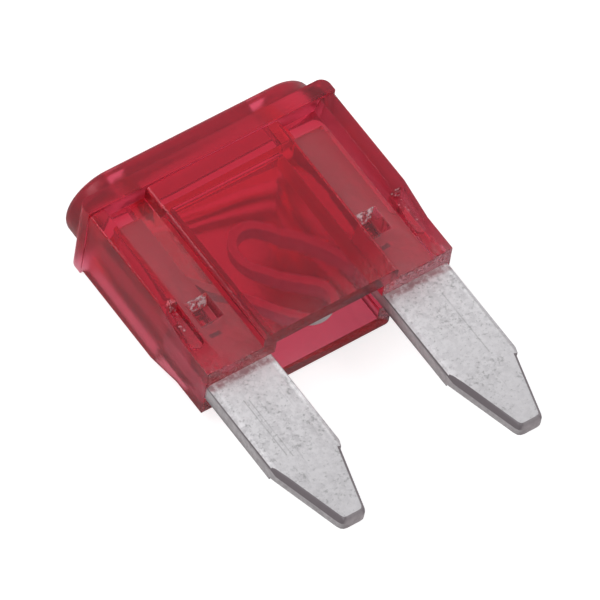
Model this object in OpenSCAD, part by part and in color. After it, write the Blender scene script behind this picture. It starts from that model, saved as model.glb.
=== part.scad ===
// Mini blade fuse: a transparent one-piece housing round a one-piece stamped element.
// It lies on its back. +Y runs to the head, the blades point to -Y, +Z leaves the front face.

/* [Blades] */
// Width of one blade
blade_w = 2.94; // [2.84:0.01:2.96]
// Thickness of the stamped strip
strip_t = 0.8; // [0.6:0.05:0.9]
// Length of a blade below the seat of the housing
blade_len = 7.4; // [6.5:0.05:8.5]
// Length of the tapered point of a blade
point_len = 3.0; // [2:0.1:3.5]
// Width left at the tip of a blade
tip_w = 1.06; // [0.8:0.02:1.4]
// Length over which each corner of the tip is rounded
tip_round = 0.25; // [0.1:0.01:0.4]
// How much higher the taper begins on the +X side
hip_lead = 0.15; // [0:0.05:0.4]
// Depth of the nick where the taper begins on the +X side
nick_depth = 0.15; // [0.05:0.01:0.3]
// Length of that nick
nick_len = 0.36; // [0.2:0.02:0.6]
// Depth of the soft start of the taper on the -X side
ease_w = 0.05; // [0.02:0.01:0.1]
// Length of that soft start
ease_h = 0.45; // [0.3:0.05:0.7]
// Bevel along the point, across the face
bevel_w = 0.16; // [0.05:0.01:0.2]
// Bevel along the point, down the edge
bevel_h = 0.24; // [0.1:0.01:0.28]
// Width of the roll-over that stamping leaves on the front edges of a blade
roll_w = 0.3; // [0.1:0.02:0.36]
// Depth of that roll-over
roll_h = 0.15; // [0.05:0.01:0.2]
// Rounding of the rear edges of a blade
edge_r = 0.1; // [0.05:0.01:0.15]
// Length of the rounded root of a blade inside the housing
root_h = 0.6; // [0.4:0.05:0.7]

/* [Terminals] */
// Setback of the foot of a terminal from the outer edge of its blade
foot_back = 0.12; // [0.08:0.01:0.2]
// Further setback at the top of the foot
foot_lean = 0.2; // [0.1:0.01:0.3]
// Height of the wide foot of a terminal above the seat
foot_h = 2.45; // [2.2:0.05:2.6]
// Setback of the inner edge of a terminal post from the centre line of its blade
post_set = 0.55; // [0.5:0.01:0.6]
// Width of a terminal post
post_w = 1.32; // [1.2:0.02:1.36]
// Height of the terminal posts above the seat
post_h = 7.3; // [6.8:0.05:7.4]
// Height of the sloping shoulder between foot and post
shoulder_h = 0.7; // [0.4:0.1:0.9]
// Width of the stake hole in a terminal
lock_w = 0.6; // [0.5:0.02:0.66]
// Height of the stake hole
lock_h = 0.9; // [0.7:0.05:1]
// Width of the small slot below the stake hole
slit_w = 0.46; // [0.4:0.02:0.6]
// Height of that slot
slit_h = 0.18; // [0.12:0.02:0.3]

/* [Link] */
// Distance from the centre to a post for which the lengths of the link are given
link_span = 3.42; // [3.38:0.01:3.46]
// Width of the fusible link
link_w = 0.36; // [0.3:0.01:0.42]
// Thickness of the link, coined thinner than the strip
link_t = 0.46; // [0.3:0.02:0.6]
// Height of the middle of the link above the seat
link_mid = 2.95; // [2.9:0.01:3]
// Fall of the straight middle run, in degrees
run_angle = 42.6; // [41:0.2:44]
// Half length of the middle run
run_half = 1.11; // [1.05:0.01:1.16]
// Radius of the upper turn
upper_r = 1.02; // [0.98:0.01:1.06]
// Radius of the lower turn
lower_r = 0.88; // [0.84:0.01:0.92]
// Radius of the long bow that leads down to the right-hand terminal
bow_r = 5.2; // [4.9:0.1:5.6]
// Length of the straight run up to the left-hand terminal
stay_len = 4.85; // [4.7:0.05:5]

/* [Housing] */
// Width of the body
body_w = 11; // [10.92:0.01:11.1]
// Distance from the side of the body in to the outer edge of a blade
side_wall = 0.06; // [0.05:0.01:0.1]
// Height of the body from the seat to the underside of the head
body_h = 7.75; // [7.65:0.05:7.9]
// Thickness of the side columns, at the floor of their pockets
column_t = 2.3; // [2.2:0.05:2.5]
// Thickness at the foot of the outer rails
foot_t = 2.5; // [2.44:0.02:2.6]
// Thickness across the outer rails
rail_t = 3.5; // [3.3:0.05:3.55]
// Width of an outer rail at the pocket floor
rail_w = 0.86; // [0.7:0.02:0.95]
// Narrowing of a rail from its root to its top
rail_draft = 0.22; // [0.1:0.02:0.3]
// Height where the ramp of a rail ends
ramp_low = 1.6; // [1.4:0.1:1.9]
// Height where the ramp of a rail begins
ramp_high = 3.4; // [3.2:0.1:3.6]
// Setback of the side of the middle block from the inner edge of a post
block_set = 0.42; // [0.38:0.02:0.5]
// Thickness of the middle block
block_t = 3.56; // [3.4:0.02:3.6]
// Rounding of the upright corners of the block
block_r = 0.16; // [0.08:0.02:0.25]

/* [Head] */
// Step from the side of the body out to the end of the head
head_step = 0.05; // [0.03:0.01:0.15]
// Thickness of the head
head_t = 3.76; // [3.7:0.02:4]
// Height of the flange below the cap
flange_h = 0.72; // [0.5:0.02:0.9]
// Rounding of the upper corners of the flange
flange_r = 0.4; // [0.2:0.05:0.48]
// Height of the cap above the flange
cap_h = 0.83; // [0.6:0.01:1]
// Thickness of the cap, and the diameter of its round ends
cap_t = 3.44; // [3.2:0.02:3.6]
// Rounding of the upper edge of the cap
cap_r = 0.32; // [0.2:0.02:0.4]
// Inset of the cap from the end of the head
cap_inset = 0.08; // [0.02:0.01:0.2]
// Setback of the middle of a test slot from the inner edge of a post
test_set = 0.26; // [0.2:0.02:0.32]
// Width of a test slot
test_w = 0.72; // [0.6:0.02:0.8]

/* [Cavity] */
// Setback of the side of the open chamber from the inner edge of a post
chamber_set = 1.02; // [0.92:0.02:1.12]
// Depth of the chamber from front to back
chamber_t = 2.1; // [1.8:0.05:2.2]
// Height of the chamber above the seat
chamber_h = 6.95; // [6.6:0.05:7.1]
// Rounding between the walls and the roof of the chamber
chamber_r = 0.45; // [0.2:0.05:0.6]
// Clearance all round the element
fit_gap = 0.02; // [0.01:0.01:0.04]

/* [Stakes and recesses] */
// Width of a stake pit at the pocket floor
stake_w = 1.02; // [0.9:0.02:1.1]
// Height of a stake pit at the pocket floor
stake_h = 1.16; // [1:0.02:1.2]
// Taper of its steep sides, towards the middle and the seat
stake_steep = 0.08; // [0.04:0.01:0.12]
// Taper of its open sides, outward and towards the head
stake_open = 0.28; // [0.2:0.01:0.32]
// Depth of a stake pit
stake_depth = 0.44; // [0.4:0.02:0.6]
// Shift of both stakes along X, where the punches struck
stake_shift = -0.16; // [-0.18:0.01:0]
// Distance of the middle of a stake pit beyond the inner edge of a post
stake_set = 0.36; // [0.32:0.01:0.4]
// Height of the middle of a stake pit above the seat
stake_y = 2.52; // [2.45:0.01:2.6]
// Width of the round-ended recess in each ramp
recess_w = 0.54; // [0.3:0.02:0.56]
// Depth of that recess below the foot of the rail
recess_depth = 0.28; // [0.1:0.02:0.4]
// Height of the lower end of the recess above the seat
recess_low = 1.15; // [1:0.05:1.4]
// Height of its upper end
recess_high = 3.05; // [2.8:0.05:3.1]

/* [Hidden] */
$fn = 48;
cut = 0.5;
beyond = 0.1;
top_h = body_h + flange_h + cap_h;
seat_y = blade_len - (blade_len + top_h) / 2;
mid_z = head_t / 2;
blade_x = body_w / 2 - side_wall - blade_w / 2;
blade_in = blade_x - blade_w / 2;
blade_out = blade_x + blade_w / 2;
link_lap = 0.03;
post_in = blade_x - post_set;
post_out = post_in + post_w;
lock_x = (post_in + post_out) / 2 - 0.28;
block_w = 2 * (post_in - block_set);
chamber_w = 2 * (post_in - chamber_set);
test_x = post_in - test_set;
stake_x = post_in + stake_set;
head_w = body_w + 2 * head_step;
boss_gap = 0.07;
boss_reach = 0.3;
recess_in = body_w / 2 - rail_w + 0.12;
slit_y = stake_y - lock_h / 2 - slit_h / 2 - 0.4;

// Sweeps a section drawn as (x, z) along Y, from y0 upwards.
module sweep_y(y0, length) {
    translate([0, y0 + length, 0]) rotate([90, 0, 0]) linear_extrude(length) children();
}

// Sweeps a section drawn as (y, z) along X, centred on x0.
module sweep_x(x0, width) {
    translate([x0, 0, 0]) rotate([90, 0, 90]) linear_extrude(width, center = true) children();
}

// A rectangle centred on the origin with all four corners rounded.
module round_rect(w, h, r) {
    square([w - 2 * r, h], center = true);
    square([w, h - 2 * r], center = true);
    for (sx = [-1, 1], sy = [-1, 1])
        translate([sx * (w / 2 - r), sy * (h / 2 - r)]) circle(r);
}

module both_sides() {
    for (side = [0, 1]) mirror([side, 0, 0]) children();
}

module both_faces() {
    for (face = [0, 1]) mirror([0, 0, face]) children();
}

// Blade section as (x, z): rolled-over corners in front, small round ones behind.
function blade_section(grow = 0) = let (w = blade_w / 2 + grow, h = strip_t / 2 + grow) [
    for (a = [0 : 30 : 90]) [w - roll_w + roll_w * sin(a), h - roll_h + roll_h * cos(a)],
    for (a = [90 : 45 : 180]) [w - edge_r + edge_r * sin(a), edge_r - h + edge_r * cos(a)],
    for (a = [180 : 45 : 270]) [edge_r - w + edge_r * sin(a), edge_r - h + edge_r * cos(a)],
    for (a = [270 : 30 : 360]) [roll_w - w + roll_w * sin(a), h - roll_h + roll_h * cos(a)]
];

function unit(v) = v / norm(v);

// The point at x on the line through p and q.
function at_x(p, q, x) = p + (q - p) * (x - p[0]) / (q[0] - p[0]);

// Points of a rounded corner at q, between p and r, that begins at distance d from q.
function round_corner(p, q, r, d, n = 3) = let (a = q + d * unit(p - q), b = q + d * unit(r - q)) [
    for (i = [0 : n]) let (t = i / n) (1 - t) * (1 - t) * a + 2 * t * (1 - t) * q + t * t * b
];

// Edge of the tapered point, from the -X hip round the tip to the foot of the nick.
function point_path() = let (
    hip = [ease_w - blade_w / 2, -blade_len + point_len],
    nick = [blade_w / 2 - nick_depth, hip[1] + hip_lead - nick_len],
    left = [-tip_w / 2, -blade_len],
    right = [tip_w / 2, -blade_len]
) concat([hip], round_corner(hip, left, right, tip_round),
    round_corner(left, right, nick, tip_round), [nick]);

// One blade outline, tip down. It is cut from a wider strip, so the sides lie beyond the strip.
module blade_outline() {
    side = blade_w / 2;
    path = point_path();
    nick = path[len(path) - 1];
    polygon(concat(
        [[-side - beyond, root_h], at_x(path[0], path[0] + [-ease_w, ease_h], -side - beyond)],
        path,
        [at_x(nick, nick + [nick_depth, nick_len], side + beyond), [side + beyond, root_h]]
    ));
}

// A wedge that bevels one edge of a face, from point a to point b, with the face on its left.
module edge_bevel(a, b, beyond = 0.3) {
    run = b - a;
    slope = bevel_h / bevel_w;
    translate([a[0], a[1], strip_t / 2]) rotate([0, 0, atan2(run[1], run[0])])
        rotate([90, 0, 90]) translate([0, 0, -0.3]) linear_extrude(norm(run) + 0.3 + beyond)
            polygon([[bevel_w + 0.1 / slope, 0.1], [-cut, 0.1], [-cut, -bevel_h - cut * slope]]);
}

module blade() {
    path = point_path();
    last = len(path) - 2;
    difference() {
        intersection() {
            linear_extrude(strip_t, center = true) blade_outline();
            sweep_y(-blade_len - cut, blade_len + 2 * cut) polygon(blade_section());
        }
        both_faces() for (i = [0 : last])
            edge_bevel(path[i], path[i + 1], i == last ? 0 : 0.3);
    }
}

// The right-hand terminal: leaning foot, sloping shoulder and narrow post.
module terminal_outline() {
    foot_out = blade_out - foot_back;
    polygon([
        [blade_in + 0.02, root_h - 0.2],
        [blade_in + 0.02, foot_h],
        [post_in, foot_h + shoulder_h],
        [post_in, post_h],
        [post_out - 0.2, post_h],
        [post_out, post_h - 0.2],
        [post_out, foot_h + 0.25],
        [foot_out - foot_lean, foot_h - 0.3],
        [foot_out, root_h],
        [foot_out, root_h - 0.2]
    ]);
}

// Stake holes and the small slots below them.
module terminal_holes() {
    for (side = [-1, 1]) translate([side * lock_x + stake_shift, 0, 0]) {
        translate([0, stake_y, 0]) cube([lock_w, lock_h, 2 * strip_t], center = true);
        translate([-0.04, slit_y, 0]) cube([slit_w, slit_h, 2 * strip_t], center = true);
    }
}

// Strip of the link along a chain of steps from point p with heading h, in degrees.
// Each step is [radius, turn]; a positive turn goes left, and radius 0 makes a straight run.
module link_chain(p, h, steps, i = 0) {
    if (i < len(steps)) {
        radius = steps[i][0];
        turn = steps[i][1];
        side = sign(turn);
        straight = radius == 0;
        lap = straight ? 0 : link_lap / radius * 180 / PI;
        centre = p + side * radius * [-sin(h), cos(h)];
        next_h = straight ? h : h + turn;
        next_p = straight ? p + turn * [cos(h), sin(h)]
            : centre + side * radius * [sin(next_h), -cos(next_h)];
        if (straight)
            translate([p[0], p[1], 0]) rotate(h) translate([-link_lap, -link_w / 2, -link_t / 2])
                cube([turn + 2 * link_lap, link_w, link_t]);
        else
            translate([centre[0], centre[1], 0]) rotate(min(h, next_h) - side * 90 - lap)
                rotate_extrude(angle = abs(turn) + 2 * lap)
                    translate([radius - link_w / 2, -link_t / 2]) square([link_w, link_t]);
        link_chain(next_p, next_h, steps, i + 1);
    }
}

// S-shaped link: one end bows down to the right, the other runs straight up to the left.
module link() {
    k = post_in / link_span;
    middle = [-0.05 * k, link_mid];
    half = [0, run_half * k];
    upper = [upper_r * k, -(180 - run_angle + 33)];
    lower = [lower_r * k, run_angle - 229];
    link_chain(middle, 180 - run_angle, [half, upper, [bow_r * k, -43], [0.9 * k, 26], [0, 0.5 * k]]);
    link_chain(middle, -run_angle, [half, lower, [0, stay_len * k]]);
}

module fuse_element() {
    color("silver") translate([0, seat_y, mid_z]) difference() {
        union() {
            for (side = [-1, 1]) translate([side * blade_x, 0, 0]) blade();
            both_sides() linear_extrude(strip_t, center = true) terminal_outline();
            link();
        }
        terminal_holes();
    }
}

// Section of the body at any height: middle block and the plates beside it.
module body_core() {
    sweep_y(0, body_h + 0.1) {
        round_rect(block_w, block_t, block_r);
        square([body_w, column_t], center = true);
    }
}

// Outer rail with its ramp, cut from a side view and a section.
module rail() {
    inner = body_w / 2 - rail_w;
    intersection() {
        sweep_x(body_w / 2, 2 * (rail_w + cut)) polygon([
            [0, 0], [0, foot_t / 2], [ramp_low, foot_t / 2],
            [ramp_high, rail_t / 2], [body_h + 0.1, rail_t / 2], [body_h + 0.1, 0]
        ]);
        sweep_y(0, body_h + 0.1) polygon([
            [inner, 0], [inner, column_t / 2 - 0.05], [inner + rail_draft, rail_t / 2],
            [body_w / 2 - 0.06, rail_t / 2], [body_w / 2, rail_t / 2 - 0.06], [body_w / 2, 0]
        ]);
    }
}

// Round-ended recess that runs down a ramp.
module ramp_recess() {
    floor_z = foot_t / 2 - recess_depth;
    length = recess_high - recess_low - recess_w / 2;
    translate([recess_in + recess_w / 2, recess_low + recess_w / 2, floor_z]) {
        cylinder(d = recess_w, h = 2);
        translate([-recess_w / 2, 0, 0]) cube([recess_w, length, 2]);
    }
}

// Flange with two round upper corners, under a cap with round ends and a rounded rim.
module head() {
    translate([0, body_h, 0]) {
        linear_extrude(head_t, center = true) intersection() {
            round_rect(head_w, 2 * flange_h, flange_r);
            translate([-head_w / 2, 0]) square([head_w, flange_h]);
        }
        cap();
    }
}

// Half section of the cap: distance from its axis against height.
module cap_profile() {
    square([cap_t / 2, flange_h + cap_h - cap_r]);
    square([cap_t / 2 - cap_r, flange_h + cap_h]);
    translate([cap_t / 2 - cap_r, flange_h + cap_h - cap_r]) circle(cap_r);
}

module cap() {
    end_x = head_w / 2 - cap_inset - cap_t / 2;
    for (side = [-1, 1])
        translate([side * end_x, 0, 0]) rotate([-90, 0, 0]) rotate_extrude() intersection() {
            cap_profile();
            square([cap_t, flange_h + cap_h]);
        }
    both_faces() sweep_x(0, 2 * end_x) rotate(90) mirror([0, 1]) cap_profile();
}

// Section of a stake pit of a given width: one steep side and one open side.
module pit_section(w) {
    floor_z = column_t / 2 - stake_depth;
    rise = 1 + cut / stake_depth;
    polygon([
        [-w / 2 + stake_steep, floor_z], [w / 2 - stake_open, floor_z],
        [w / 2 - stake_open + stake_open * rise, column_t / 2 + cut],
        [-w / 2 + stake_steep - stake_steep * rise, column_t / 2 + cut]
    ]);
}

// Pits with four flat sides, sunk into the pocket floors.
module stake_pits() {
    for (side = [-1, 1]) translate([side * stake_x + stake_shift, stake_y, 0])
        mirror([side < 0 ? 1 : 0, 0, 0]) intersection() {
            sweep_y(-2, 4) pit_section(stake_w);
            sweep_x(0, 4) pit_section(stake_h);
        }
}

// Chamber round the link, open at the seat, with a rounded roof.
module chamber() {
    sweep_x(0, chamber_w) {
        translate([-cut, -chamber_t / 2]) square([chamber_h + cut - chamber_r, chamber_t]);
        translate([-cut, -chamber_t / 2 + chamber_r])
            square([chamber_h + cut, chamber_t - 2 * chamber_r]);
        for (face = [-1, 1])
            translate([chamber_h - chamber_r, face * (chamber_t / 2 - chamber_r)])
                circle(chamber_r);
    }
}

// Slot that the element slides into, less the bosses that lock it.
module element_slot() {
    slot_t = strip_t + 2 * fit_gap;
    foot_out = blade_out - foot_back + fit_gap;
    difference() {
        linear_extrude(slot_t, center = true) {
            translate([-post_out - fit_gap, -cut])
                square([2 * (post_out + fit_gap), post_h + fit_gap + cut]);
            translate([-foot_out, -cut]) square([2 * foot_out, foot_h + 0.3 + cut]);
        }
        for (side = [-1, 1]) translate([side * lock_x + stake_shift, stake_y, 0]) both_faces()
            translate([0, 0, slot_t / 2])
                cube([lock_w - 2 * boss_gap, lock_h - 2 * boss_gap, 2 * boss_reach], center = true);
    }
    for (side = [-1, 1]) translate([side * blade_x, 0, 0])
        sweep_y(-cut, root_h + fit_gap + cut) polygon(blade_section(fit_gap));
}

// Slot in the top for a test probe, down to the terminal.
module test_slot() {
    translate([test_x - test_w / 2, post_h, -strip_t / 2])
        cube([test_w, top_h - post_h + cut, strip_t]);
}

module housing() {
    color([0.75, 0.1, 0.16, 0.75]) translate([0, seat_y, mid_z]) difference() {
        union() {
            body_core();
            both_sides() both_faces() rail();
            head();
        }
        chamber();
        element_slot();
        both_faces() stake_pits();
        both_sides() {
            test_slot();
            both_faces() ramp_recess();
        }
    }
}

housing();
fuse_element();
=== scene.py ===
import math

import bmesh
import bpy
from mathutils import Euler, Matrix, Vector


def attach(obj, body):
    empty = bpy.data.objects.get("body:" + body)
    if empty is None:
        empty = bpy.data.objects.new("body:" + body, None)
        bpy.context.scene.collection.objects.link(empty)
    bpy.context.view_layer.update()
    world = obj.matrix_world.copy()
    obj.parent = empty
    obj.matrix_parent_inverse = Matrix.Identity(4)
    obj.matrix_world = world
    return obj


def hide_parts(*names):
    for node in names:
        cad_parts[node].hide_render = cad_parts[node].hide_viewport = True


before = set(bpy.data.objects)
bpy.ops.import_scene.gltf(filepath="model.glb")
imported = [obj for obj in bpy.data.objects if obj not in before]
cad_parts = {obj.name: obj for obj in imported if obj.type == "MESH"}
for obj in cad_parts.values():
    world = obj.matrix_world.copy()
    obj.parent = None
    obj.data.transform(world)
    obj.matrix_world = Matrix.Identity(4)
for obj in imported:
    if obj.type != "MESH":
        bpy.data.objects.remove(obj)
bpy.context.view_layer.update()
mm = 0.001
print("frame loaded")


viewSet = {
    "place": (-144.647, -151.735, 302.591),  # mm
    "turn": (34.4845, -5.9749, -34.8667),  # degrees
    "lens": 598.942,
    "sensor": 36.0,
    "clip": (0.01, 20.0),  # metres
}


def makeCamera(cfg):
    data = bpy.data.cameras.new("tableCamera")
    data.lens = cfg["lens"]
    data.sensor_width = cfg["sensor"]
    data.clip_start, data.clip_end = cfg["clip"]
    camera = bpy.data.objects.new("tableCamera", data)
    camera.location = Vector(cfg["place"]) * mm
    camera.rotation_euler = Euler([math.radians(a) for a in cfg["turn"]], "XYZ")
    bpy.context.scene.collection.objects.link(camera)
    bpy.context.scene.camera = camera


makeCamera(viewSet)
bpy.context.scene.view_settings.view_transform = "Standard"
print("camera ready")


# small helpers for node trees: a value that is a socket is linked, anything else is set

def fill(tree, node, values):
    for name, value in values.items():
        socket = node.inputs[name]
        if isinstance(value, bpy.types.NodeSocket):
            tree.links.new(value, socket)
        else:
            socket.default_value = value
    return node


def addNode(tree, kind, at, values=None, **options):
    node = tree.nodes.new(kind)
    node.location = at
    for name, value in options.items():
        setattr(node, name, value)
    return fill(tree, node, values or {})


def addMath(tree, at, operation, first, second=0.0, third=0.0, clamp=False):
    node = addNode(tree, "ShaderNodeMath", at, {0: first, 1: second, 2: third},
                   operation=operation, use_clamp=clamp)
    return node.outputs[0]


def addRange(tree, at, value, lowIn, highIn, lowOut, highOut):
    node = addNode(tree, "ShaderNodeMapRange", at, {
        "Value": value, "From Min": lowIn, "From Max": highIn,
        "To Min": lowOut, "To Max": highOut,
    })
    return node.outputs["Result"]


def addBlend(tree, at, factor, first, second):
    node = addNode(tree, "ShaderNodeMix", at, {0: factor, 6: first, 7: second}, data_type="RGBA")
    return node.outputs[2]


def addNoise(tree, at, place, scale, detail, roughness):
    node = addNode(tree, "ShaderNodeTexNoise", at, {
        "Vector": place, "Scale": scale, "Detail": detail, "Roughness": roughness})
    return node.outputs["Fac"]


def addPlace(tree, at):
    return addNode(tree, "ShaderNodeTexCoord", at).outputs["Object"]


# an amount that each face of the mesh carries
def addFaceValue(tree, at, label):
    return addNode(tree, "ShaderNodeAttribute", at, attribute_name=label).outputs["Fac"]


def newGroup(name, inputs, outputs):
    group = bpy.data.node_groups.new(name, "ShaderNodeTree")
    for label, value in inputs.items():
        socket = group.interface.new_socket(label, in_out="INPUT", socket_type="NodeSocketFloat")
        socket.default_value = value
    for label in outputs:
        group.interface.new_socket(label, in_out="OUTPUT", socket_type="NodeSocketFloat")
    entry = group.nodes.new("NodeGroupInput")
    entry.location = (-900, 0)
    leave = group.nodes.new("NodeGroupOutput")
    leave.location = (700, 0)
    return group, entry.outputs, leave.inputs


def placeGroup(tree, group, at, **values):
    node = addNode(tree, "ShaderNodeGroup", at, node_tree=group)
    return fill(tree, node, {name.replace("_", " "): v for name, v in values.items()})


# cloudy patches with a finer grain over them
mottleSet = {
    "patchNoise": (4.0, 0.6),  # detail and roughness
    "grainNoise": (5.0, 0.65),
    "patchFrom": (0.3, 0.7),
    "spread": 0.25,  # to either side of a half, at a contrast of 1
}


def makeMottle(cfg):
    group, entry, leave = newGroup(
        "mottle", {"Patch Scale": 900.0, "Grain Scale": 4000.0, "Contrast": 1.0},
        ("Patches", "Grain", "Height"))
    place = addPlace(group, (-900, 300))
    patches = addNoise(group, (-600, 200), place, entry["Patch Scale"], *cfg["patchNoise"])
    grain = addNoise(group, (-600, -100), place, entry["Grain Scale"], *cfg["grainNoise"])
    low = addMath(group, (-400, 400), "MULTIPLY_ADD", entry["Contrast"], -cfg["spread"], 0.5)
    high = addMath(group, (-400, 550), "MULTIPLY_ADD", entry["Contrast"], cfg["spread"], 0.5)
    spread = addRange(group, (-200, 200), patches, *cfg["patchFrom"], low, high)
    group.links.new(spread, leave["Patches"])
    group.links.new(grain, leave["Grain"])
    both = addMath(group, (100, -100), "ADD", spread, grain)
    group.links.new(addMath(group, (300, -100), "MULTIPLY", both, 0.5), leave["Height"])
    return group


# fine lines that run along Y, in loose fields
scratchSet = {
    "lineNoise": (3.0, 0.7),  # detail and roughness
    "lineFrom": (0.56, 0.7),
    "fieldScale": 700.0,
    "fieldNoise": (2.0, 0.5),
    "fieldFrom": (0.4, 0.65),
}


def makeScratches(cfg):
    group, entry, leave = newGroup(
        "scratches", {"Line Scale": 6000.0, "Stretch": 0.05, "Share": 0.4},
        ("Lines", "Height"))
    place = addPlace(group, (-900, 300))
    squeeze = addNode(group, "ShaderNodeCombineXYZ", (-700, 100), {
        "X": 1.0, "Y": entry["Stretch"], "Z": 1.0}).outputs[0]
    thin = addNode(group, "ShaderNodeVectorMath", (-500, 200), {
        0: place, 1: squeeze}, operation="MULTIPLY").outputs[0]
    lines = addNoise(group, (-300, 200), thin, entry["Line Scale"], *cfg["lineNoise"])
    field = addNoise(group, (-300, -100), place, cfg["fieldScale"], *cfg["fieldNoise"])
    picked = addRange(group, (-100, 200), lines, *cfg["lineFrom"], 0.0, 1.0)
    field = addRange(group, (-100, -100), field, *cfg["fieldFrom"], 0.0, 1.0)
    shown = addMath(group, (100, 100), "MULTIPLY", picked, field)
    scaled = addMath(group, (300, 100), "MULTIPLY", shown, entry["Share"])
    group.links.new(scaled, leave["Lines"])
    group.links.new(addMath(group, (500, -100), "MULTIPLY", scaled, -1.0), leave["Height"])
    return group


# one straight mark along Y, given in metres
markSet = {
    "width": 0.03 * mm,
    "edgeFrom": (0.4, 1.0),  # it fades out over these shares of its width
    "fadeScale": 900.0,
    "fadeNoise": (2.0, 0.5),  # detail and roughness
    "fade": (0.35, 0.55, 0.2, 1.0),  # noise from and to, share from and to
}


def makeMark(cfg):
    group, entry, leave = newGroup(
        "mark", {"Across": 0.0, "Width": cfg["width"], "From": 0.0, "To": 0.0}, ("Mask",))
    place = addPlace(group, (-900, 300))
    spot = addNode(group, "ShaderNodeSeparateXYZ", (-700, 300), {0: place}).outputs
    fading = addNoise(group, (-700, 0), place, cfg["fadeScale"], *cfg["fadeNoise"])
    away = addMath(group, (-500, 300), "SUBTRACT", spot["X"], entry["Across"])
    away = addMath(group, (-350, 300), "ABSOLUTE", away)
    near = addMath(group, (-200, 300), "DIVIDE", away, entry["Width"])
    near = addRange(group, (-50, 300), near, *cfg["edgeFrom"], 1.0, 0.0)
    low = addMath(group, (-200, 100), "GREATER_THAN", spot["Y"], entry["From"])
    high = addMath(group, (-200, -50), "LESS_THAN", spot["Y"], entry["To"])
    along = addMath(group, (100, 0), "MULTIPLY", low, high)
    faint = addRange(group, (100, -200), fading, *cfg["fade"])
    mask = addMath(group, (300, 100), "MULTIPLY", near, along)
    group.links.new(addMath(group, (500, 0), "MULTIPLY", mask, faint), leave["Mask"])
    return group


mottle = makeMottle(mottleSet)
scratches = makeScratches(scratchSet)
mark = makeMark(markSet)


def newMaterial(name):
    material = bpy.data.materials.new(name)
    material.use_nodes = True
    tree = material.node_tree
    tree.nodes.clear()
    out = tree.nodes.new("ShaderNodeOutputMaterial")
    out.location = (900, 0)
    return material, tree, out


def addBump(tree, at, height, strength, distance, under=None):
    node = addNode(tree, "ShaderNodeBump", at, {
        "Height": height, "Strength": strength, "Distance": distance})
    if under is not None:
        tree.links.new(under, node.inputs["Normal"])
    return node.outputs["Normal"]


redSet = {
    "clear": (0.99, 0.30, 0.39, 1.0),  # surface tint, light patches
    "deep": (0.97, 0.25, 0.34, 1.0),  # surface tint, deep patches
    "frosted": (0.90, 0.32, 0.40, 1.0),  # rough moulded faces
    "mirrored": (1.0, 0.55, 0.60, 1.0),  # tint of what it mirrors
    "body": (0.88, 0.13, 0.36, 1.0),  # what the plastic lets through
    "density": 900.0,  # per metre
    "ior": 1.5,
    "through": 0.94,  # the rest scatters as haze
    "patchFrom": (0.25, 0.8),
    "gloss": (0.05, 0.13),  # over the patches
    "grainFrom": (0.4, 0.62),
    "grainFrost": (0.65, 1.05),  # share of the frost over the grain
    "frostGloss": 0.4,
    "frostCoat": 0.6,  # rough faces catch light like a matt coat
    "coatIor": 3.0,
    "coatGloss": 0.5,
    "patchScale": 650.0,
    "grainScale": 9000.0,
    "wave": 0.10,
    "waveDepth": 0.02 * mm,
    "flowScale": 1100.0,
    "flowNoise": (1.0, 0.4),  # detail and roughness
    "flow": (0.12, 0.6),  # strength in the body and in the head
    "flowDepth": 0.03 * mm,
    "head": (6.7 * mm, 6.9 * mm),  # the head begins there
    "headGloss": 0.28,  # the head's faces are duller
    "pocketEndShade": (5.9 * mm, 6.3 * mm, 1.0, 0.2),  # less frost and coat above the metal: a painted shade under the flange's overhang
    "sideFrom": (2.95 * mm, 3.1 * mm),  # the columns begin there
    "seat": (0.3 * mm, -0.9 * mm),  # grainy frost sets in along Y
    "seatFrost": (0.35, 0.7),  # at the seat, on the block and on the columns
    "strip": (1.88 * mm, 0.7 * mm, 0.85 * mm),  # the blades lie there, seen from the seat
    "foot": (-0.94 * mm, -0.9 * mm),  # the feet end there
    "footFar": 0.3,  # share of their frost away from the blades
}


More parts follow.
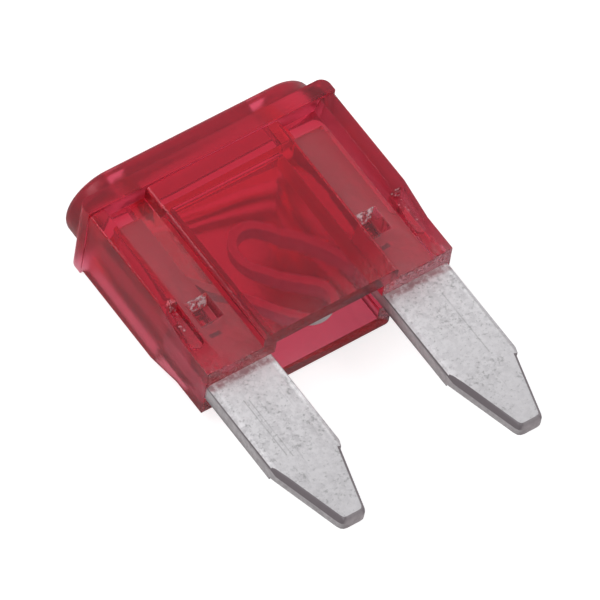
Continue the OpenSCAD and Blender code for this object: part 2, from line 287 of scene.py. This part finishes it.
def makeRedPlastic(cfg):
    material, tree, out = newMaterial("clearRedPlastic")
    cloud = placeGroup(tree, mottle, (-1100, 100), Patch_Scale=cfg["patchScale"],
                       Grain_Scale=cfg["grainScale"], Contrast=1.0).outputs
    rough = addFaceValue(tree, (-1100, 500), "frost")
    blur = addFaceValue(tree, (-500, -250), "blur")
    place = addPlace(tree, (-1500, 700))
    spot = addNode(tree, "ShaderNodeSeparateXYZ", (-1300, 700), {0: place}).outputs
    aside = addMath(tree, (-1100, 900), "ABSOLUTE", spot["X"])
    aside = addRange(tree, (-900, 900), aside, *cfg["sideFrom"], *cfg["seatFrost"])
    grains = addRange(tree, (-900, 300), cloud["Grain"], *cfg["grainFrom"], 0.0, 1.0)
    mixed = addRange(tree, (-700, 400), grains, 0.0, 1.0, *cfg["grainFrost"])
    middle, closeBy, farOff = cfg["strip"]
    lift = addMath(tree, (-1100, 1100), "SUBTRACT", spot["Z"], middle)
    lift = addMath(tree, (-900, 1100), "ABSOLUTE", lift)
    beside = addRange(tree, (-700, 1100), lift, closeBy, farOff, 1.0, cfg["footFar"])
    above = addRange(tree, (-700, 1300), spot["Y"], *cfg["foot"], 0.0, 1.0)
    beside = addMath(tree, (-500, 1100), "MAXIMUM", beside, above)
    rough = addMath(tree, (-300, 1100), "MULTIPLY", rough, beside)
    frost = addMath(tree, (-500, 500), "MULTIPLY", rough, mixed)
    # the frost fades above the metal as painted shade under the flange
    pocketShade = addRange(tree, (-500, 650), spot["Y"], *cfg["pocketEndShade"])
    frost = addMath(tree, (-400, 500), "MULTIPLY", frost, pocketShade)
    nearSeat = addRange(tree, (-900, 700), spot["Y"], *cfg["seat"], 0.0, 1.0)
    nearSeat = addMath(tree, (-700, 700), "MULTIPLY", nearSeat, aside)
    nearSeat = addMath(tree, (-500, 700), "MULTIPLY", nearSeat, grains)
    frost = addMath(tree, (-300, 500), "MAXIMUM", frost, nearSeat, clamp=True)
    tint = addBlend(tree, (-500, 250), cloud["Patches"], cfg["clear"], cfg["deep"])
    tint = addBlend(tree, (-100, 350), frost, tint, cfg["frosted"])
    gloss = addRange(tree, (-500, 50), cloud["Patches"], *cfg["patchFrom"], *cfg["gloss"])
    headed = addRange(tree, (-500, -100), spot["Y"], *cfg["head"], 0.0, cfg["headGloss"])
    frosty = addMath(tree, (-300, -100), "MULTIPLY", frost, cfg["frostGloss"])
    for step, other in enumerate((headed, blur, frosty)):
        gloss = addMath(tree, (100 * step - 300, 50), "MAXIMUM", gloss, other)
    coat = addMath(tree, (-100, -100), "MULTIPLY", frost, cfg["frostCoat"])
    flowing = addRange(tree, (-700, -650), spot["Y"], *cfg["head"], *cfg["flow"])
    flow = addNoise(tree, (-700, -400), place, cfg["flowScale"], *cfg["flowNoise"])
    normal = addBump(tree, (-500, -400), flow, flowing, cfg["flowDepth"])
    normal = addBump(tree, (-300, -250), cloud["Height"], cfg["wave"], cfg["waveDepth"], normal)
    shell = addNode(tree, "ShaderNodeBsdfPrincipled", (300, 200), {
        "Base Color": tint, "Roughness": gloss, "IOR": cfg["ior"],
        "Transmission Weight": cfg["through"], "Specular Tint": cfg["mirrored"],
        "Coat Weight": coat, "Coat IOR": cfg["coatIor"], "Coat Roughness": cfg["coatGloss"],
        "Normal": normal,
    })
    depth = addNode(tree, "ShaderNodeVolumeAbsorption", (300, -500), {
        "Color": cfg["body"], "Density": cfg["density"]})
    tree.links.new(shell.outputs[0], out.inputs["Surface"])
    tree.links.new(depth.outputs[0], out.inputs["Volume"])
    return material


# whitened skin of stressed plastic, in specks; its pale specks are painted glints
glintBloomSet = {
    "paleGlint": (0.95, 0.80, 0.82, 1.0),
    "red": (0.86, 0.48, 0.54, 1.0),
    "speckScale": 6800.0,
    "speckNoise": (3.0, 0.5),  # detail and roughness
    "patchScale": 2000.0,
    "grainScale": 9000.0,
    "grainFrom": (0.42, 0.6),
    "grainShare": (0.2, 1.0),
    "speckFrom": (0.84, 1.1),
    "speckAlpha": 0.85,
    "hazeFrom": (0.95, 1.3, 0.45, 0.05),  # whitening from and to, alpha from and to
    "gloss": 0.55,
    "least": 0.5,  # whitening of the faces that get the skin
    "lift": 0.0008 * mm,
    "thick": 0.004 * mm,
    "inset": 0.045 * mm,
}


def makeGlintingStressedPlastic(cfg):
    material, tree, out = newMaterial("glintingStressedPlastic")
    place = addPlace(tree, (-1100, 300))
    white = addFaceValue(tree, (-1100, 500), "whiteningAndGlints")
    cloud = placeGroup(tree, mottle, (-900, 0), Patch_Scale=cfg["patchScale"],
                       Grain_Scale=cfg["grainScale"], Contrast=1.0).outputs
    specks = addNoise(tree, (-900, 300), place, cfg["speckScale"], *cfg["speckNoise"])
    specks = addMath(tree, (-700, 400), "MULTIPLY", specks, white)
    specks = addRange(tree, (-500, 400), specks, *cfg["speckFrom"], 0.0, 1.0)
    haze = addRange(tree, (-700, 0), cloud["Grain"], *cfg["grainFrom"], *cfg["grainShare"])
    share = addRange(tree, (-500, -200), white, *cfg["hazeFrom"])
    haze = addMath(tree, (-300, 0), "MULTIPLY", haze, share)
    alpha = addMath(tree, (-300, 200), "MULTIPLY", specks, cfg["speckAlpha"])
    alpha = addMath(tree, (-100, 100), "MAXIMUM", alpha, haze, clamp=True)
    # pale specks: painted glints over the whitened plastic
    colour = addBlend(tree, (-100, 400), specks, cfg["red"], cfg["paleGlint"])
    shell = addNode(tree, "ShaderNodeBsdfPrincipled", (300, 200), {
        "Base Color": colour, "Roughness": cfg["gloss"], "Alpha": alpha})
    tree.links.new(shell.outputs[0], out.inputs["Surface"])
    return material


metalSet = {
    "light": (0.88, 0.86, 0.885, 1.0),
    "dull": (0.56, 0.545, 0.565, 1.0),
    "tipward": (-3.0 * mm, -8.6 * mm),  # duller towards the tips
    "tipwardShare": 0.6,
    "speck": (0.36, 0.355, 0.36, 1.0),
    "shearShade": (0.22, 0.19, 0.205, 1.0),  # the bevels and rolled edges: dull sheared metal, with painted shade over it
    "side": (0.62, 0.585, 0.60, 1.0),  # the upright edges: painted shade, lighter than on the bevels
    "end": (0.53, 0.475, 0.495, 1.0),  # the ends of the tips: painted shade, lighter than on the bevels
    "shearFrom": (0.6, 0.97),  # by how level a face is
    "sideFrom": (0.35, 0.12),
    "endFrom": (-0.7, -0.95),  # by how much it faces the tip
    "edgeStain": 0.5,
    # long scratches: X, from and to Y, mm
    "marks": ((-4.61, -4.9, -2.1), (-4.43, -5.05, -2.2), (4.41, -5.0, -2.0)),
    "markWidth": 0.035 * mm,
    "markShare": 0.55,
    "lineScale": 9000.0,
    "lineStretch": 0.04,
    "lineShare": 0.6,
    "lineWave": 0.4,
    "lineDepth": 0.006 * mm,
    "shearGloss": 0.25,
    "rootShadeAndReflection": (0.40, 0.17, 0.19, 1.0),  # painted shade and red reflection of the moulding on the blades' roots, under the seat
    "root": (-1.32 * mm, -1.16 * mm),  # along Y
    "rootPaintShare": 0.75,
    "rootGrain": (0.42, 0.56, 0.25, 1.0),  # grain from and to, share from and to
    "paintedLight": (0.97, 0.965, 0.96, 1.0),  # painted light: inside the moulding the metal is painted near white and less metallic
    "seat": (-1.1 * mm, -0.6 * mm),  # along Y
    "paintedLightShare": 0.9,
    "paintedLightEdges": 0.45,
    "paintedLightMetal": 0.2,
    "metal": 0.4,
    "shearMetal": 0.15,
    "grainFrom": (0.3, 0.7),
    "gloss": (0.42, 0.62),  # over the grain
    "patchScale": 800.0,
    "grainScale": 4300.0,
    "stainFrom": (0.42, 0.58),
    "speckScale": 7600.0,
    "speckNoise": (3.0, 0.6),  # detail and roughness
    "speckFrom": (0.7, 0.88),
    "speckShare": 0.8,
    "speckPatches": 0.3,
    "wave": 0.35,
    "waveDepth": 0.012 * mm,
}


def makeTinPlate(cfg):
    material, tree, out = newMaterial("tinPlate")
    cloud = placeGroup(tree, mottle, (-900, 200), Patch_Scale=cfg["patchScale"],
                       Grain_Scale=cfg["grainScale"], Contrast=1.0).outputs
    lines = placeGroup(tree, scratches, (-900, -200), Line_Scale=cfg["lineScale"],
                       Stretch=cfg["lineStretch"], Share=cfg["lineShare"]).outputs
    place = addPlace(tree, (-1100, -500))
    along = addNode(tree, "ShaderNodeSeparateXYZ", (-900, -700), {0: place}).outputs["Y"]
    inside = addRange(tree, (-700, -700), along, *cfg["seat"], 0.0, cfg["paintedLightShare"])
    spots = addNoise(tree, (-900, -500), place, cfg["speckScale"], *cfg["speckNoise"])
    stain = addRange(tree, (-600, 300), cloud["Grain"], *cfg["stainFrom"], 0.0, 1.0)
    stain = addMath(tree, (-500, 400), "MULTIPLY", stain, cloud["Patches"])
    base = addBlend(tree, (-400, 300), stain, cfg["light"], cfg["dull"])
    lined = addBlend(tree, (-200, 300), lines["Lines"], base, cfg["dull"])
    fading = addRange(tree, (-400, 700), along, *cfg["tipward"], 0.0, cfg["tipwardShare"])
    lined = addBlend(tree, (-100, 450), fading, lined, cfg["dull"])
    speck = addMath(tree, (-600, -450), "MULTIPLY_ADD", cloud["Patches"], cfg["speckPatches"],
                    spots)
    speck = addRange(tree, (-400, -500), speck, *cfg["speckFrom"], 0.0, cfg["speckShare"])
    colour = addBlend(tree, (0, 300), speck, lined, cfg["speck"])
    facing = addNode(tree, "ShaderNodeNewGeometry", (-900, 600)).outputs["Normal"]
    facing = addNode(tree, "ShaderNodeSeparateXYZ", (-700, 600), {0: facing}).outputs
    ending = addRange(tree, (-500, 800), facing["Y"], *cfg["endFrom"], 0.0, 1.0)
    level = addMath(tree, (-500, 600), "ABSOLUTE", facing["Z"])
    marked = 0.0
    for row, (across, low, high) in enumerate(cfg["marks"]):
        one = placeGroup(tree, mark, (-900, 1300 + 200 * row), Across=across * mm,
                         Width=cfg["markWidth"], From=low * mm, To=high * mm).outputs["Mask"]
        marked = addMath(tree, (-700, 1300 + 200 * row), "MAXIMUM", one, marked)
    marked = addMath(tree, (-500, 1300), "MULTIPLY", marked, cfg["markShare"])
    colour = addBlend(tree, (0, 400), marked, colour, cfg["speck"])
    # colour by how a face tilts and faces: painted shade on bevels, rolled edges, upright edges
    # and tip ends, over their dull sheared finish
    shearedAndShaded = addRange(tree, (-300, 600), level, *cfg["shearFrom"], 1.0, 0.0)
    # painted shade and red reflection at the blades' roots, in grainy specks
    rootPaintMask = addRange(tree, (-300, 800), along, *cfg["root"], 0.0, cfg["rootPaintShare"])
    grainy = addRange(tree, (-300, 1000), cloud["Grain"], *cfg["rootGrain"])
    rootPaintMask = addMath(tree, (-100, 800), "MULTIPLY", rootPaintMask, grainy)
    colour = addBlend(tree, (0, 500), rootPaintMask, colour, cfg["rootShadeAndReflection"])
    upright = addRange(tree, (-300, 1200), level, *cfg["sideFrom"], 0.0, 1.0)
    edge = addBlend(tree, (-100, 1200), upright, cfg["shearShade"], cfg["side"])
    edge = addBlend(tree, (0, 1200), ending, edge, cfg["end"])
    stained = addBlend(tree, (0, 1000), cfg["edgeStain"], edge, cfg["shearShade"])
    edge = addBlend(tree, (100, 1200), stain, edge, stained)
    colour = addBlend(tree, (100, 400), shearedAndShaded, colour, edge)
    # painted light on the metal inside the moulding, weaker on its edges
    paintedLightMask = addRange(tree, (0, 700), shearedAndShaded, 0.0, 1.0, 1.0, cfg["paintedLightEdges"])
    paintedLightMask = addMath(tree, (100, 700), "MULTIPLY", paintedLightMask, inside)
    colour = addBlend(tree, (200, 500), paintedLightMask, colour, cfg["paintedLight"])
    metal = addRange(tree, (0, 0), shearedAndShaded, 0.0, 1.0, cfg["metal"], cfg["shearMetal"])
    muted = addRange(tree, (0, -400), inside, 0.0, 1.0, 1.0, cfg["paintedLightMetal"])
    metal = addMath(tree, (150, 0), "MULTIPLY", metal, muted)
    gloss = addRange(tree, (-400, 0), cloud["Grain"], *cfg["grainFrom"], *cfg["gloss"])
    gloss = addMath(tree, (0, 100), "MULTIPLY_ADD", shearedAndShaded, cfg["shearGloss"], gloss)
    normal = addBump(tree, (-200, -200), cloud["Height"], cfg["wave"], cfg["waveDepth"])
    normal = addBump(tree, (0, -200), lines["Height"], cfg["lineWave"], cfg["lineDepth"], normal)
    shell = addNode(tree, "ShaderNodeBsdfPrincipled", (300, 200), {
        "Base Color": colour, "Roughness": gloss, "Metallic": metal, "Normal": normal})
    tree.links.new(shell.outputs[0], out.inputs["Surface"])
    return material


redPlastic = makeRedPlastic(redSet)
tinPlate = makeTinPlate(metalSet)
glintingStressedPlastic = makeGlintingStressedPlastic(glintBloomSet)
print("materials ready")


# the moulding keeps the solid's faces and gets a small radius on every edge
mouldSet = {
    "edge": 0.035 * mm,
    "steps": 2,
    "sharpFrom": 25.0,  # degrees
    "flatBelow": 0.6,  # degrees
    "weld": 0.0002 * mm,
    "middle": 1.88,  # mm, height of the strip's middle plane
    # zones of rough faces: x, y and z of a face's middle in mm, with x and z taken from
    # the planes of symmetry, the share of its normal along an axis, its frost, its blur
    # and its whitening
    # the whitening column also sets where the glints are painted
    "zones": (
        ((3.0, 5.2), (0.5, 4.5), (1.1, 1.2), (2, 0.9, 1.1), 0.58, 0.12, 0.0),  # pocket floors
        ((3.0, 5.5), (-1.1, -0.8), (0.0, 1.3), (1, 0.9, 1.1), 0.9, 0.0, 0.9),  # feet at the seat
        ((3.0, 4.6), (0.9, 2.2), (0.5, 1.14), (1, 0.7, 0.9), 0.9, 0.0, 1.9),  # pits, head walls
        ((3.0, 4.6), (0.9, 2.2), (0.5, 1.14), (0, 0.7, 0.9), 0.5, 0.0, 0.0),  # pits, outer walls
        ((3.0, 4.6), (0.9, 2.2), (0.5, 1.14), (2, 0.0, 0.3), 0.5, 0.0, 0.0),  # pits, steep walls
        ((3.0, 4.6), (0.9, 2.2), (0.6, 0.8), (2, 0.9, 1.1), 0.3, 0.0, 0.0),  # pits, floors
        ((4.7, 5.4), (-1.0, 1.7), (0.9, 1.1), (2, 0.9, 1.1), 0.2, 0.15, 1.45),  # ramp recesses
        ((4.7, 5.4), (1.9, 2.2), (1.2, 1.5), (1, 0.9, 1.1), 0.6, 0.1, 1.6),  # recess ends
        ((5.4, 5.6), (-1.0, 7.5), (0.0, 1.9), (0, 0.9, 1.1), 0.1, 0.45, 0.0),  # outer sides
        ((5.0, 5.4), (1.5, 6.0), (1.5, 1.8), (2, 0.9, 1.1), 0.0, 0.1, 0.0),  # rails and ramps
        ((4.6, 4.9), (2.0, 4.5), (0.0, 1.5), (0, 0.9, 1.1), 0.0, 0.12, 0.0),  # rails, inner sides
        ((2.9, 3.1), (2.5, 3.5), (1.0, 1.9), (0, 0.9, 1.1), 0.0, 0.14, 0.0),  # block, sides
        ((0.0, 2.9), (-1.1, -0.8), (0.0, 1.9), (1, 0.9, 1.1), 0.0, 0.25, 0.0),  # block, seat ends
        ((0.0, 2.9), (6.2, 6.9), (0.0, 1.9), (1, 0.9, 1.1), 0.0, 0.4, 0.0),  # chamber, roof
        ((2.3, 2.5), (-1.0, 6.9), (0.0, 1.9), (0, 0.9, 1.1), 0.0, 0.3, 0.0),  # chamber, sides
        ((0.0, 2.4), (1.5, 6.0), (1.0, 1.7), (2, 0.9, 1.1), 0.0, 0.11, 0.0),  # chamber, broad
    ),
}


def finishOf(face, cfg):
    middle = face.calc_center_median() / mm
    spot = (abs(middle.x), middle.y, abs(middle.z - cfg["middle"]))
    for *ranges, (axis, least, most), frost, blur, white in cfg["zones"]:
        if not least <= abs(face.normal[axis]) <= most:
            continue
        if all(low <= value <= high for value, (low, high) in zip(spot, ranges)):
            return frost, blur, white
    return 0.0, 0.0, 0.0


def roundedCopy(source, name, cfg):
    mesh = bpy.data.meshes.new(name)
    work = bmesh.new()
    work.from_mesh(source.data)
    bmesh.ops.remove_doubles(work, verts=work.verts, dist=cfg["weld"])
    bmesh.ops.dissolve_limit(work, angle_limit=math.radians(cfg["flatBelow"]),
                             verts=work.verts, edges=work.edges)
    bmesh.ops.recalc_face_normals(work, faces=work.faces)
    labels = ("frost", "blur", "whiteningAndGlints")
    for label in labels:
        work.faces.layers.float.new(label)
    layers = [work.faces.layers.float[label] for label in labels]
    for face in work.faces:
        for layer, amount in zip(layers, finishOf(face, cfg)):
            face[layer] = amount
    work.to_mesh(mesh)
    work.free()
    for face in mesh.polygons:
        face.use_smooth = True
    piece = bpy.data.objects.new(name, mesh)
    bpy.context.scene.collection.objects.link(piece)
    bevel = piece.modifiers.new("moulded edges", "BEVEL")
    bevel.width = cfg["edge"]
    bevel.segments = cfg["steps"]
    bevel.limit_method = "ANGLE"
    bevel.angle_limit = math.radians(cfg["sharpFrom"])
    bevel.use_clamp_overlap = True
    bevel.harden_normals = True
    bevel.miter_outer = "MITER_ARC"
    return piece


def makeHousing(cfg):
    piece = roundedCopy(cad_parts["housing"], "housingMoulding", cfg)
    piece.data.materials.append(redPlastic)
    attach(piece, "root")
    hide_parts("housing")


# thin closed plates on the whitened faces, clear of the rounded edges, carrying the painted
# glints
def makeGlintBloom(cfg):
    mesh = bpy.data.meshes.new("glintingStressBloom")
    work = bmesh.new()
    work.from_mesh(bpy.data.objects["housingMoulding"].data)
    white = work.faces.layers.float["whiteningAndGlints"]
    bmesh.ops.delete(work, geom=[face for face in work.faces if face[white] < cfg["least"]],
                     context="FACES")
    inset = bmesh.ops.inset_individual(work, faces=list(work.faces), thickness=cfg["inset"])
    bmesh.ops.delete(work, geom=inset["faces"], context="FACES")
    for face in list(work.faces):
        way = face.normal
        low = [work.verts.new(vert.co + way * cfg["lift"]) for vert in face.verts]
        high = [work.verts.new(vert.co + way * cfg["thick"]) for vert in low]
        amount = face[white]
        work.faces.remove(face)
        sides = [(low[k - 1], low[k], high[k], high[k - 1]) for k in range(len(low))]
        for corners in [high, low[::-1]] + sides:
            work.faces.new(corners)[white] = amount
    loose = [vert for vert in work.verts if not vert.link_faces]
    bmesh.ops.delete(work, geom=loose, context="VERTS")
    work.to_mesh(mesh)
    work.free()
    piece = bpy.data.objects.new("glintingStressBloom", mesh)
    bpy.context.scene.collection.objects.link(piece)
    mesh.materials.append(glintingStressedPlastic)
    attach(piece, "root")


# the strip gets soft edges too
stripSet = {
    "edge": 0.03 * mm,
    "steps": 2,
    "sharpFrom": 30.0,  # degrees
    "flatBelow": 0.6,  # degrees
    "weld": 0.0002 * mm,
    "middle": 1.88,
    "zones": (),
}


def makeStrip(cfg):
    piece = roundedCopy(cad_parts["fuse_element"], "stampedStrip", cfg)
    piece.data.materials.append(tinPlate)
    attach(piece, "root")
    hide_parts("fuse_element")


makeHousing(mouldSet)
makeGlintBloom(glintBloomSet)
makeStrip(stripSet)
print("pieces ready")


studioSet = {
    "floorSize": 2.0,
    "floorColour": (0.55, 0.55, 0.55, 1.0),
    "floorGloss": 0.9,
    "floorShine": 0.1,
    # light that the floor sends to the camera, to mirrors and through the plastic
    "cameraGlow": 0.75,
    "glossyGlow": 0.03,
    "throughGlow": 0.47,
    "skyRise": (0.1, 0.6),  # height on the dome, 0 to 1
    "sky": (0.539, 0.3528),  # from low to high
    "lamps": {
        # name: place mm, aimed at mm, size mm, watts
        "windowLamp": ((-260, 160, 420), (0, 0, 0), 320, 1.15),
        "sideLamp": ((420, -120, 300), (0, 0, 0), 300, 1.05),
    },
}


def makeFloor(cfg):
    half = cfg["floorSize"] / 2
    mesh = bpy.data.meshes.new("tableTop")
    work = bmesh.new()
    signs = ((-1, -1), (1, -1), (1, 1), (-1, 1))
    work.faces.new([work.verts.new((x * half, y * half, 0.0)) for x, y in signs])
    work.to_mesh(mesh)
    work.free()
    floor = bpy.data.objects.new("tableTop", mesh)
    bpy.context.scene.collection.objects.link(floor)
    material, tree, out = newMaterial("paleTable")
    ray = addNode(tree, "ShaderNodeLightPath", (-700, -200)).outputs
    direct = addMath(tree, (-500, 0), "MULTIPLY", ray["Is Camera Ray"], cfg["cameraGlow"])
    mirrored = addMath(tree, (-500, -200), "MULTIPLY", ray["Is Glossy Ray"], cfg["glossyGlow"])
    passed = ray["Is Transmission Ray"]
    through = addMath(tree, (-500, -400), "MULTIPLY", passed, cfg["throughGlow"])
    glow = addMath(tree, (-300, -100), "MAXIMUM", direct, mirrored)
    glow = addMath(tree, (-100, -200), "MAXIMUM", glow, through)
    shell = addNode(tree, "ShaderNodeBsdfPrincipled", (300, 200), {
        "Base Color": cfg["floorColour"], "Roughness": cfg["floorGloss"],
        "Specular IOR Level": cfg["floorShine"],
        "Emission Color": (1.0, 1.0, 1.0, 1.0), "Emission Strength": glow})
    tree.links.new(shell.outputs[0], out.inputs["Surface"])
    mesh.materials.append(material)


def makeSky(cfg):
    world = bpy.data.worlds.new("softSky")
    bpy.context.scene.world = world
    world.use_nodes = True
    tree = world.node_tree
    tree.nodes.clear()
    out = addNode(tree, "ShaderNodeOutputWorld", (600, 0))
    place = addNode(tree, "ShaderNodeTexCoord", (-600, 0)).outputs["Generated"]
    way = addNode(tree, "ShaderNodeSeparateXYZ", (-400, 0), {0: place}).outputs
    level = addRange(tree, (-200, 0), way["Z"], *cfg["skyRise"], *cfg["sky"])
    light = addNode(tree, "ShaderNodeBackground", (200, 0), {
        "Color": (1.0, 1.0, 1.0, 1.0), "Strength": level})
    tree.links.new(light.outputs[0], out.inputs["Surface"])


def makeLamps(cfg):
    for name, (place, target, size, watts) in cfg["lamps"].items():
        data = bpy.data.lights.new(name, "AREA")
        data.shape = "SQUARE"
        data.size = size * mm
        data.energy = watts
        lamp = bpy.data.objects.new(name, data)
        lamp.location = Vector(place) * mm
        aim = Vector(target) * mm - lamp.location
        lamp.rotation_euler = aim.to_track_quat("-Z", "Y").to_euler()
        bpy.context.scene.collection.objects.link(lamp)


makeFloor(studioSet)
makeSky(studioSet)
makeLamps(studioSet)
print("stage ready")
